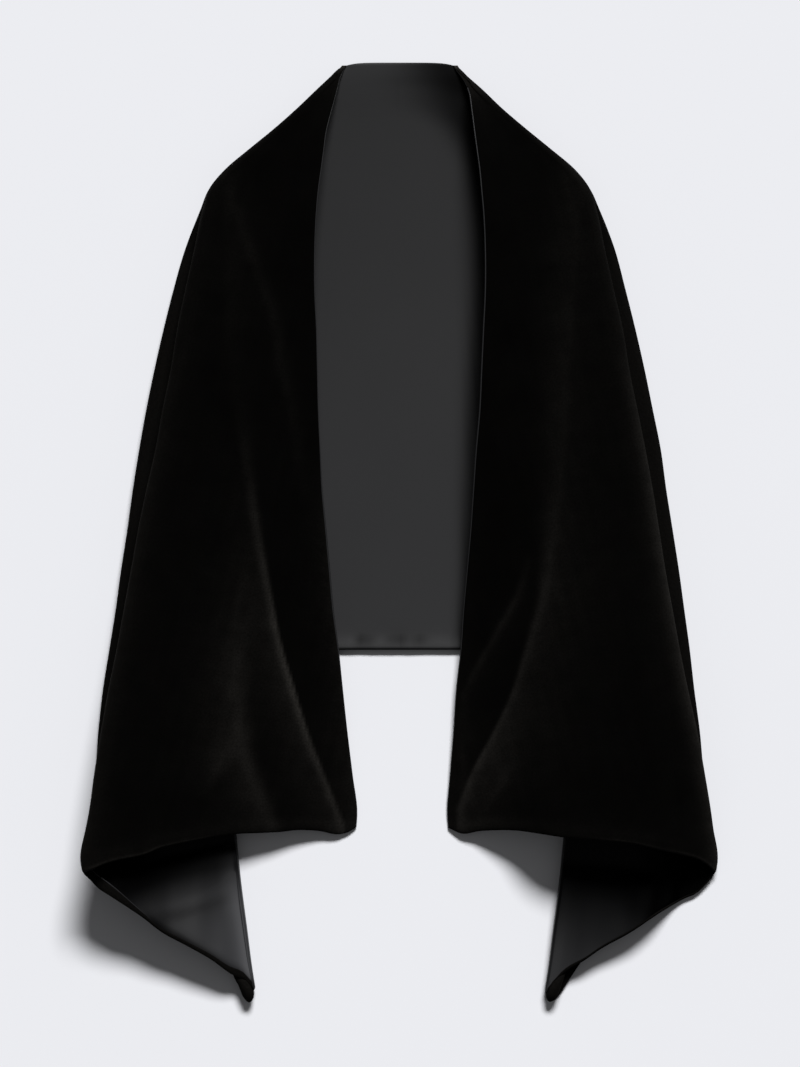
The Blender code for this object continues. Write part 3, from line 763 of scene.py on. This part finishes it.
    def stretches(self):
        """The front, tail, underfold and back. The folds under the front begin at the split."""
        rows = [self.row(j) for j in range(len(self.stations))]
        front, back = (np.array([row[i] for row in rows]) for i in (0, 3))
        tail, underfold = (np.array([row[i] for row in rows[self.split_row:]]) for i in (1, 2))
        light = np.array([self.front_light(j, line[:, 0], line[:, 1]) for j, line in enumerate(front)])
        across = np.linspace(-FOLD_CELLS, TAIL_CELLS + FOLD_CELLS, tail.shape[1]) / TAIL_CELLS
        tail_sheen = self.tail_sheen(np.clip(across, 0, 2), tail[..., 0], tail[..., 1])
        return (
            stretch(front, first_row=True, first_column=True, light=light),
            stretch(tail, sheen=tail_sheen),
            stretch(underfold),
            stretch(back, first_row=True, sheen=self.back_sheen(back[..., 0], back[..., 1])),
        )


def grid_quads(rows, columns):
    index = np.arange(rows * columns).reshape(rows, columns)
    corners = (index[:-1, :-1], index[:-1, 1:], index[1:, 1:], index[1:, :-1])
    return np.stack(corners, axis=-1).reshape(-1, 4)


def placed(half, points):
    """World places of (out, down, height) points. High ones are drawn in, as they look wider to the lens."""
    nearer = 1 - points[..., 2] * MM / CAMERA_HEIGHT
    x = half.side * points[..., 0] * nearer * MM
    y = NECK_Y - (CENTRE_DOWN + (points[..., 1] - CENTRE_DOWN) * nearer) * MM
    return np.stack([x, y, points[..., 2] * MM], axis=-1)


def surface_normals(points, quads):
    a, b, c, d = (points[quads[:, i]] for i in range(4))
    faces = np.cross(c - a, d - b)
    normals = np.zeros_like(points)
    for i in range(4):
        np.add.at(normals, quads[:, i], faces)
    return unit(normals)


# The welded middle surface, with the same values at each point as a stretch has.
Surface = namedtuple("Surface", "points quads normals far light sheen")


def middle_surface(half, stretches):
    """The half's stretches welded into one surface, in metres. It thins out round the neck's corner."""
    quads, count = [], 0
    for part in stretches:
        rows, columns = part.grid.shape[:2]
        quads.append(grid_quads(rows, columns) + count)
        count += rows * columns
    points = np.concatenate([part.grid.reshape(-1, 3) for part in stretches])
    far, light, sheen = (np.concatenate([getattr(part, name).ravel() for part in stretches])
                         for name in ("far", "light", "sheen"))
    keys, first, index = np.unique(np.round(points, 3), axis=0, return_index=True, return_inverse=True)
    index = index.reshape(-1)
    nearest = np.full(len(keys), np.inf)
    np.minimum.at(nearest, index, far)
    points = points[first]
    to_corner = np.hypot(points[:, 0] - NECK_CORNER_OUT, points[:, 1])
    thinned = np.minimum(nearest, to_corner * EDGE_ROUND / NECK_CORNER_REACH)
    nearest = np.where(to_corner < NECK_CORNER_REACH, thinned, nearest)
    quads = index[np.concatenate(quads)]
    quads = quads[np.array([len(set(quad)) >= 3 for quad in quads])]
    if half.side > 0:
        quads = quads[:, ::-1]
    world = placed(half, points)
    return Surface(world, quads, surface_normals(world, quads), nearest, light[first], sheen[first])


def rounding(distances, full):
    """The cloth side's distance from the middle surface, rounded off towards the cloth's edge."""
    t = np.clip(distances / EDGE_ROUND, 0, 1)
    return (EDGE_SIDE + (full - EDGE_SIDE) * np.sqrt(1 - (1 - t) ** 2)) * MM


def corners_of(face):
    """A quad's corners, of which a welded one counts once."""
    return [int(v) for i, v in enumerate(face) if v != face[i - 1]]


def boundary(loops):
    """Directed edges that only one face uses."""
    edges = {(loop[i - 1], v): True for loop in loops for i, v in enumerate(loop)}
    return [(a, b) for a, b in edges if (b, a) not in edges]


def cloth_object(name, points, faces, cloth, light):
    """A smooth piece of cloth, whose material reads each point's painted light from the mesh."""
    slot, material = cloth
    mesh = bpy.data.meshes.new(name)
    mesh.from_pydata(points.tolist(), [], faces)
    mesh.validate()
    mesh.materials.append(material)
    mesh.shade_smooth()
    values = np.broadcast_to(light, len(points)).astype(np.float32)
    mesh.attributes.new(LIGHT_NAMES[slot], "FLOAT", "POINT").data.foreach_set("value", values)
    obj = bpy.data.objects.new(name, mesh)
    bpy.context.scene.collection.objects.link(obj)
    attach(obj, "root")
    return obj


def shell_object(name, outer, inner, quads, cloth, light):
    """A closed thin shell between two copies of a surface."""
    count = len(outer)
    loops = [corners_of(face) for face in quads]
    faces = []
    for loop in loops:
        faces.append(loop)
        faces.append([v + count for v in reversed(loop)])
    for a, b in boundary(loops):
        faces.append([b, a, a + count, b + count])
    obj = cloth_object(name, np.concatenate([outer, inner]), faces, cloth, light)
    obj.data.set_sharp_from_angle(angle=math.radians(SHARP_FROM))
    return obj


def cloth_side(name, surface, side, full, cloth, light):
    """The shell on one side of the middle surface: 1 for the velvet's side and -1 for the lining's."""
    normals = side * surface.normals
    outer = surface.points + normals * rounding(surface.far, full)[:, None]
    inner = surface.points + normals * INNER_SIDE * MM
    return shell_object(name, outer, inner, surface.quads[:, ::side], cloth, np.tile(light, 2))


def tube_object(name, path, radii, side, cloth, light):
    """A closed round strip along a path, with a radius at each of its points."""
    along = unit(np.gradient(path, axis=0))
    across = unit(side - along * np.sum(side * along, axis=-1, keepdims=True))
    up = np.cross(along, across)
    turns = np.arange(TUBE_SIDES) * 2 * math.pi / TUBE_SIDES
    rings = [path + radii[:, None] * (across * math.cos(turn) + up * math.sin(turn)) for turn in turns]
    points = np.stack(rings, axis=1).reshape(-1, 3)
    faces = []
    for start in range(0, len(points) - TUBE_SIDES, TUBE_SIDES):
        for i in range(TUBE_SIDES):
            a, b = start + i, start + (i + 1) % TUBE_SIDES
            faces.append([a, b, b + TUBE_SIDES, a + TUBE_SIDES])
    faces.append(list(range(TUBE_SIDES))[::-1])
    faces.append([len(points) - TUBE_SIDES + i for i in range(TUBE_SIDES)])
    return cloth_object(name, points, faces, cloth, light)


def edge_lip(half, front, satin):
    """The lining's satin peeps out as a thin lip along the front's inner edge."""
    shown = front[front[:, 0, 1] >= half.lip[0][0]]
    radii = curve(half.lip)(shown[:, 0, 1]) * MM
    world = placed(half, shown[:, :3])
    outwards = unit(world[:, 0] - world[:, 2])
    path = world[:, 0] + outwards * (LIP_OUT * MM + 0.5 * radii[:, None])
    return tube_object("lip_" + half.name, path[::2], radii[::2], outwards[::2], satin, 1.0)


def hem_band(half, tail):
    """Points across the velvet that is turned over the tail's hem, from its edge inwards."""
    width = curve(half.hem_turn)
    columns = tail.shape[1] - FOLD_CELLS
    steps = np.linspace(0, 1, HEM_TURN_CELLS + 1)
    band = np.zeros((columns, len(steps), 3))
    for i in range(columns):
        line = tail[::-1, i]
        along = np.concatenate([[0], np.cumsum(np.linalg.norm(np.diff(line, axis=0), axis=-1))])
        reach = width(i / (columns - 1)) * steps
        for axis in range(3):
            band[i, :, axis] = np.interp(reach, along, line[:, axis])
    return band


def hem_turn(half, tail, velvet):
    """The velvet turned over the tail's hem, as a thin closed band on its satin side."""
    band = placed(half, hem_band(half, tail))
    rows, columns = band.shape[:2]
    quads = grid_quads(rows, columns)
    normals = surface_normals(band.reshape(-1, 3), quads)
    if normals[rows * columns // 2, 2] < 0:
        normals = -normals
        quads = quads[:, ::-1]
    band[:, 0] += unit(band[:, 0] - band[:, 1]) * HEM_TURN_BEYOND * MM
    points = band.reshape(-1, 3)
    across = np.tile(np.linspace(-1, 1, columns), rows)
    round_share = np.sqrt(np.clip(1 - across ** 4, 0, 1))
    thick = HEM_TURN_THICK * (1 + round_share) - HEM_TURN_SUNK
    outer = points + normals * ((LINING_SIDE + thick) * MM)[:, None]
    inner = points + normals * (LINING_SIDE - 0.1) * MM
    return shell_object("turn_" + half.name, outer, inner, quads, velvet, UNDER_LIGHT)


def tail_tip(half, velvet):
    """The tail's tip, where the turned hem, the fold and the tail meet in a round velvet end."""
    path = placed(half, np.array([(blob.out, blob.down, blob.height) for blob in half.tip]))
    radii = np.array([blob.radius for blob in half.tip]) * MM
    return tube_object("tip_" + half.name, path, radii, OUTWARDS, velvet, TIP_LIGHT)


def turn_piping(half, tail, satin):
    """The satin edge that stands up beside the turned velvet, near the side fold."""
    band = hem_band(half, tail)
    share = np.linspace(0, 1, len(band))
    shown = share <= half.piping_end
    path = placed(half, band[shown, -1]) + np.array([0, 0, (LINING_SIDE + PIPING_RISE) * MM])
    ends = np.sin(math.pi * share[shown] / half.piping_end)
    radii = PIPING_RADIUS * (0.15 + 0.85 * np.clip(3 * ends, 0, 1)) * MM
    return tube_object("piping_" + half.name, path, radii, OUTWARDS, satin, 1.0)


def build_cloth(velvet, satin):
    for half in HALVES:
        stretches = Wing(half).stretches()
        front, tail = stretches[0].grid, stretches[1].grid
        surface = middle_surface(half, stretches)
        velvet_piece = cloth_side("velvet_" + half.name, surface, 1, VELVET_SIDE, velvet, surface.light)
        lining_piece = cloth_side("lining_" + half.name, surface, -1, LINING_SIDE, satin, surface.sheen)
        satin_trims = [edge_lip(half, front, satin)]
        velvet_trims = [hem_turn(half, tail, velvet), tail_tip(half, velvet)]
        if half.piping_end:
            satin_trims.append(turn_piping(half, tail, satin))
        pieces = ((velvet_piece, "velvet", velvet_trims), (lining_piece, "lining", satin_trims))
        for piece, kind, trims in pieces:
            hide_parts(*[f"{part}_{half.name}_{kind}" for part in ("front", "tail", "underfold")])
            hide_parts("back_" + kind)


# Colours, as (place on the ramp, colour).
# The velvet's ramp runs from its own colour up to the colour of its painted sheen.
VELVET_TONES = ((0.0, (0.0006, 0.00055, 0.0005)), (1.0, (0.0285, 0.0265, 0.0240)))
SATIN_TONES = ((0.3, (0.0118, 0.0119, 0.0128)), (0.7, (0.0136, 0.0137, 0.0146)))
FLOOR_TONES = ((0.3, (0.791, 0.798, 0.832)), (0.7, (0.799, 0.806, 0.840)))


def node_input(node, name, value):
    node.inputs[name].default_value = value


def add_node(tree, kind, **settings):
    node = tree.nodes.new(kind)
    for key, value in settings.items():
        setattr(node, key, value)
    return node


def noise(tree, position, scale, detail=3.0, roughness=0.5, distortion=0.0):
    node = add_node(tree, "ShaderNodeTexNoise")
    node_input(node, "Scale", scale)
    node_input(node, "Detail", detail)
    node_input(node, "Roughness", roughness)
    node_input(node, "Distortion", distortion)
    tree.links.new(position, node.inputs["Vector"])
    return node.outputs["Fac"]


def scaled(tree, position, scale):
    node = add_node(tree, "ShaderNodeMapping")
    node_input(node, "Scale", scale)
    tree.links.new(position, node.inputs["Vector"])
    return node.outputs["Vector"]


def ramp(tree, value, stops):
    node = add_node(tree, "ShaderNodeValToRGB")
    elements = node.color_ramp.elements
    while len(elements) < len(stops):
        elements.new(0.5)
    for element, (place, color) in zip(elements, stops):
        element.position = place
        element.color = (*color, 1.0)
    tree.links.new(value, node.inputs["Fac"])
    return node.outputs["Color"]


def bump(tree, height, strength, distance, normal=None):
    node = add_node(tree, "ShaderNodeBump")
    node_input(node, "Strength", strength)
    node_input(node, "Distance", distance)
    tree.links.new(height, node.inputs["Height"])
    if normal is not None:
        tree.links.new(normal, node.inputs["Normal"])
    return node.outputs["Normal"]


def new_material(name):
    """A material with its node tree, its shader and the surface's own coordinates."""
    material = bpy.data.materials.new(name)
    material.use_nodes = True
    tree = material.node_tree
    shader = tree.nodes["Principled BSDF"]
    position = add_node(tree, "ShaderNodeTexCoord").outputs["Object"]
    return material, tree, shader, position


def attribute(tree, name):
    return add_node(tree, "ShaderNodeAttribute", attribute_name=name).outputs["Fac"]


def velvet_material():
    material, tree, shader, position = new_material("stole_velvet")
    fine = noise(tree, position, 520.0, 1.0, 0.5)
    uneven = add_node(tree, "ShaderNodeMath", operation="MULTIPLY_ADD")
    tree.links.new(fine, uneven.inputs[0])
    node_input(uneven, 1, 1.3)
    node_input(uneven, 2, 0.35)
    shown = add_node(tree, "ShaderNodeMath", operation="MULTIPLY", use_clamp=True)
    # The painted sheen read from the mesh lifts the velvet's colour along the ramp.
    tree.links.new(attribute(tree, "painted_velvet_sheen"), shown.inputs[0])
    tree.links.new(uneven.outputs["Value"], shown.inputs[1])
    color = ramp(tree, shown.outputs["Value"], VELVET_TONES)
    tree.links.new(color, shader.inputs["Base Color"])
    node_input(shader, "Roughness", 0.9)
    node_input(shader, "Specular IOR Level", 0.01)
    node_input(shader, "Sheen Weight", 0.05)
    node_input(shader, "Sheen Roughness", 0.35)
    node_input(shader, "Sheen Tint", (0.14, 0.13, 0.115, 1.0))
    pile = noise(tree, position, 1300.0, 2.0, 0.6)
    tree.links.new(bump(tree, pile, 0.3, 0.0004), shader.inputs["Normal"])
    return material


def satin_material():
    material, tree, shader, position = new_material("stole_satin")
    tone = noise(tree, scaled(tree, position, (5, 3, 5)), 1.0, 2.0, 0.5, 0.3)
    color = ramp(tree, tone, SATIN_TONES)
    # The painted light and shade read from the mesh scales the satin's base colour and, up to 1, its
    # specular tint.
    lit = add_node(tree, "ShaderNodeVectorMath", operation="SCALE")
    tree.links.new(color, lit.inputs["Vector"])
    tree.links.new(attribute(tree, "painted_satin_shading"), lit.inputs["Scale"])
    tree.links.new(lit.outputs["Vector"], shader.inputs["Base Color"])
    shade = add_node(tree, "ShaderNodeMath", operation="MINIMUM")
    tree.links.new(attribute(tree, "painted_satin_shading"), shade.inputs[0])
    node_input(shade, 1, 1.0)
    tree.links.new(shade.outputs["Value"], shader.inputs["Specular Tint"])
    node_input(shader, "Roughness", 0.44)
    node_input(shader, "Specular IOR Level", 0.17)
    node_input(shader, "Anisotropic", 0.75)
    along = add_node(tree, "ShaderNodeCombineXYZ")
    node_input(along, "Y", 1.0)
    tree.links.new(along.outputs["Vector"], shader.inputs["Tangent"])
    weft = add_node(tree, "ShaderNodeTexWave", wave_type="BANDS", bands_direction="Y")
    node_input(weft, "Scale", 620.0)
    node_input(weft, "Distortion", 1.5)
    node_input(weft, "Detail", 2.0)
    tree.links.new(position, weft.inputs["Vector"])
    slub = noise(tree, scaled(tree, position, (180, 900, 200)), 1.0, 2.0, 0.5)
    normal = bump(tree, weft.outputs["Fac"], 0.08, 0.0002)
    tree.links.new(bump(tree, slub, 0.10, 0.0002, normal), shader.inputs["Normal"])
    return material


def build_floor():
    bpy.ops.mesh.primitive_plane_add(size=24.0, location=(0, 0, -0.0002))
    floor = bpy.context.active_object
    floor.name = "floor"
    material, tree, shader, position = new_material("floor_paper")
    grain = noise(tree, position, 900.0, 2.0)
    color = ramp(tree, grain, FLOOR_TONES)
    tree.links.new(color, shader.inputs["Base Color"])
    node_input(shader, "Roughness", 0.95)
    node_input(shader, "Specular IOR Level", 0.0)
    floor.data.materials.append(material)


def build_light():
    data = bpy.data.lights.new("key", "AREA")
    data.shape = "ELLIPSE"
    data.size = 2 * KEY_DISTANCE * math.tan(math.radians(KEY_WIDTH / 2))
    data.size_y = 2 * KEY_DISTANCE * math.tan(math.radians(KEY_DEPTH / 2))
    data.energy = KEY_STRENGTH * math.pi * KEY_DISTANCE ** 2
    key = bpy.data.objects.new("key", data)
    bpy.context.scene.collection.objects.link(key)
    key.rotation_euler = (math.radians(90 - KEY_ELEVATION), 0, math.radians(180 - KEY_FROM_UP))
    level = KEY_DISTANCE * math.cos(math.radians(KEY_ELEVATION))
    key.location = (level * math.sin(math.radians(KEY_FROM_UP)), level * math.cos(math.radians(KEY_FROM_UP)),
                    KEY_DISTANCE * math.sin(math.radians(KEY_ELEVATION)))
    world = bpy.data.worlds.new("studio")
    bpy.context.scene.world = world
    world.use_nodes = True
    background = world.node_tree.nodes["Background"]
    node_input(background, "Color", (1.0, 1.0, 1.0, 1.0))
    node_input(background, "Strength", FILL_STRENGTH)


def build_camera():
    data = bpy.data.cameras.new("camera")
    camera = bpy.data.objects.new("camera", data)
    bpy.context.scene.collection.objects.link(camera)
    data.sensor_width = 36.0
    data.lens = data.sensor_width * CAMERA_HEIGHT / (PICTURE[1] * PIXEL)
    data.clip_end = 100.0
    camera.location = (0.0, NECK_Y - CENTRE_DOWN * MM, CAMERA_HEIGHT)
    bpy.context.scene.camera = camera


bpy.context.scene.view_settings.view_transform = "Standard"
build_floor()
build_light()
build_camera()
build_cloth(("velvet", velvet_material()), ("satin", satin_material()))
